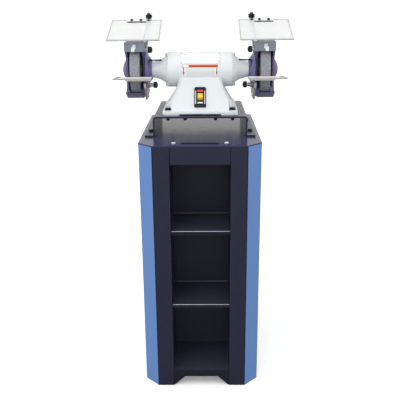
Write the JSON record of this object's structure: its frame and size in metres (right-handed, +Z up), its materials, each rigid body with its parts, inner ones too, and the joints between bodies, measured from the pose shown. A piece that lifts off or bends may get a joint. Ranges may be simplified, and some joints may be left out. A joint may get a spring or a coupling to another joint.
{
  "type": "pedestal bench grinder",
  "caption": "Two-wheel bench grinder with guards, tool rests and eye shields, on a riser bracket over an open-shelf pedestal cabinet.",
  "frame": {"origin": "on the floor under the middle of the cabinet", "axes": "+Z up, the front with the open bay and the switch faces -Y, +X is the operator's right"},
  "size_m": [0.625, 0.6252, 1.266],
  "materials": {
    "top_grey": "satin",
    "navy_paint": "satin",
    "blue_paint": "satin",
    "bay_dark": "satin",
    "riser_grey": "satin",
    "white_enamel": "gloss",
    "guard_paint": "satin",
    "arrestor_steel": "satin",
    "zinc": "satin",
    "machined_steel": "machined",
    "bearing_steel": "polished",
    "laminations": "laminated",
    "copper": "enamelled copper wire",
    "capacitor_can": "drawn",
    "black_oxide": "black oxide",
    "cast_metal": "machined casting",
    "abrasive": "vitrified grit",
    "black_plastic": "moulded",
    "yellow_plastic": "moulded",
    "clear_plastic": "clear"
  },
  "bodies": {
    "stand": {"cabinet_top": "top_grey", "cabinet_side_panels": "navy_paint", "cabinet_rear_panel": "navy_paint", "corner_panels": "blue_paint", "front_posts": "navy_paint", "header_panel": "navy_paint", "kick_panel": "navy_paint", "bay_back_panel": "bay_dark", "bay_shelves": "bay_dark", "bottom_shelf": "bay_dark", "top_screws": "zinc", "riser_bracket": "riser_grey", "riser_bolts": "black_oxide", "grinder_base": "white_enamel", "base_bolts": "black_oxide", "cord_gland": "black_plastic", "start_capacitor": "capacitor_can", "switch_body": "black_plastic", "motor_housing": "white_enamel", "stator_core": "laminations", "stator_windings": "copper", "through_bolts": "zinc", "bearings": "bearing_steel", "guard_screws": "zinc", "rest_brackets": "cast_metal", "end_bell_left": "white_enamel", "end_bell_right": "white_enamel", "wheel_guard_left": "guard_paint", "wheel_guard_right": "guard_paint", "guard_cover_left": "guard_paint", "guard_cover_right": "guard_paint"},
    "spindle_assembly": {"spindle": "machined_steel", "rotor_core": "laminations", "wheel_flanges": "machined_steel", "grinding_wheel_left": "abrasive", "grinding_wheel_right": "abrasive", "spindle_nuts": "zinc"},
    "switch_paddle": {"switch_paddle": "yellow_plastic"},
    "spark_arrestor_left": {"spark_arrestor_left": "arrestor_steel"},
    "arrestor_screw_left": {"arrestor_screw_left": "zinc"},
    "shield_arm_left": {"shield_arm_left": "zinc"},
    "shield_knob_left": {"shield_knob_left": "black_plastic"},
    "arm_knob_left": {"arm_knob_left": "black_plastic"},
    "rest_pivot_left": {"rest_pivot_left": "machined_steel"},
    "tool_rest_left": {"tool_rest_left": "cast_metal"},
    "rest_knob_left": {"rest_knob_left": "black_plastic"},
    "guard_lever_left": {"guard_lever_left": "black_plastic"},
    "shield_left": {"eye_shield_left": "clear_plastic", "shield_clamp_left": "zinc"},
    "spark_arrestor_right": {"spark_arrestor_right": "arrestor_steel"},
    "arrestor_screw_right": {"arrestor_screw_right": "zinc"},
    "shield_arm_right": {"shield_arm_right": "zinc"},
    "shield_knob_right": {"shield_knob_right": "black_plastic"},
    "arm_knob_right": {"arm_knob_right": "black_plastic"},
    "rest_pivot_right": {"rest_pivot_right": "machined_steel"},
    "tool_rest_right": {"tool_rest_right": "cast_metal"},
    "rest_knob_right": {"rest_knob_right": "black_plastic"},
    "guard_lever_right": {"guard_lever_right": "black_plastic"},
    "shield_right": {"eye_shield_right": "clear_plastic", "shield_clamp_right": "zinc"}
  },
  "joints": [
    {"name": "spindle_spin", "type": "hinge", "parent": "stand", "child": "spindle_assembly", "pos_m": [0, 0, 1.076], "axis": [1, 0, 0], "continuous": true},
    {"name": "switch_toggle", "type": "hinge", "parent": "stand", "child": "switch_paddle", "pos_m": [0, -0.10842, 0.991], "axis": [1, 0, 0], "range_deg": [0, 16]},
    {"name": "arrestor_slide_left", "type": "slide", "parent": "stand", "child": "spark_arrestor_left", "axis": [0, 0, -1], "range_m": [0, 0.01]},
    {"name": "arrestor_screw_turn_left", "type": "hinge", "parent": "stand", "child": "arrestor_screw_left", "pos_m": [-0.2225, -0.08, 1.155], "axis": [0, -1, 0], "continuous": true},
    {"name": "shield_arm_tilt_left", "type": "hinge", "parent": "stand", "child": "shield_arm_left", "pos_m": [-0.181, -0.066, 1.148], "axis": [1, 0, 0], "range_deg": [-20, 45]},
    {"name": "shield_swivel_left", "type": "hinge", "parent": "shield_arm_left", "child": "shield_left", "pos_m": [-0.181, 0.06651, 1.24269], "axis": [0, -0.3584, 0.9336], "range_deg": [-15, 15]},
    {"name": "shield_knob_turn_left", "type": "hinge", "parent": "shield_arm_left", "child": "shield_knob_left", "pos_m": [-0.181, 0.06651, 1.24269], "axis": [0, -0.3584, 0.9336], "continuous": true},
    {"name": "arm_knob_turn_left", "type": "hinge", "parent": "stand", "child": "arm_knob_left", "pos_m": [-0.17, -0.066, 1.148], "axis": [1, 0, 0], "continuous": true},
    {"name": "rest_slide_left", "type": "slide", "parent": "stand", "child": "rest_pivot_left", "axis": [0, -1, 0], "range_m": [0, 0.02]},
    {"name": "rest_tilt_left", "type": "hinge", "parent": "rest_pivot_left", "child": "tool_rest_left", "pos_m": [-0.172, -0.08, 1.032], "axis": [1, 0, 0], "range_deg": [0, 15]},
    {"name": "rest_knob_turn_left", "type": "hinge", "parent": "rest_pivot_left", "child": "rest_knob_left", "pos_m": [-0.155, -0.08, 1.032], "axis": [1, 0, 0], "continuous": true},
    {"name": "guard_lever_swing_left", "type": "hinge", "parent": "stand", "child": "guard_lever_left", "pos_m": [-0.172, -0.037, 1.111], "axis": [0, 0, 1], "range_deg": [-30, 30]},
    {"name": "arrestor_slide_right", "type": "slide", "parent": "stand", "child": "spark_arrestor_right", "axis": [0, 0, -1], "range_m": [0, 0.01]},
    {"name": "arrestor_screw_turn_right", "type": "hinge", "parent": "stand", "child": "arrestor_screw_right", "pos_m": [0.2225, -0.08, 1.155], "axis": [0, -1, 0], "continuous": true},
    {"name": "shield_arm_tilt_right", "type": "hinge", "parent": "stand", "child": "shield_arm_right", "pos_m": [0.181, -0.066, 1.148], "axis": [1, 0, 0], "range_deg": [-20, 45]},
    {"name": "shield_swivel_right", "type": "hinge", "parent": "shield_arm_right", "child": "shield_right", "pos_m": [0.181, 0.06651, 1.24269], "axis": [0, -0.3584, 0.9336], "range_deg": [-15, 15]},
    {"name": "shield_knob_turn_right", "type": "hinge", "parent": "shield_arm_right", "child": "shield_knob_right", "pos_m": [0.181, 0.06651, 1.24269], "axis": [0, -0.3584, 0.9336], "continuous": true},
    {"name": "arm_knob_turn_right", "type": "hinge", "parent": "stand", "child": "arm_knob_right", "pos_m": [0.17, -0.066, 1.148], "axis": [1, 0, 0], "continuous": true},
    {"name": "rest_slide_right", "type": "slide", "parent": "stand", "child": "rest_pivot_right", "axis": [0, -1, 0], "range_m": [0, 0.02]},
    {"name": "rest_tilt_right", "type": "hinge", "parent": "rest_pivot_right", "child": "tool_rest_right", "pos_m": [0.172, -0.08, 1.032], "axis": [1, 0, 0], "range_deg": [0, 15]},
    {"name": "rest_knob_turn_right", "type": "hinge", "parent": "rest_pivot_right", "child": "rest_knob_right", "pos_m": [0.155, -0.08, 1.032], "axis": [1, 0, 0], "continuous": true},
    {"name": "guard_lever_swing_right", "type": "hinge", "parent": "stand", "child": "guard_lever_right", "pos_m": [0.172, -0.037, 1.111], "axis": [0, 0, 1], "range_deg": [-30, 30]}
  ]
}
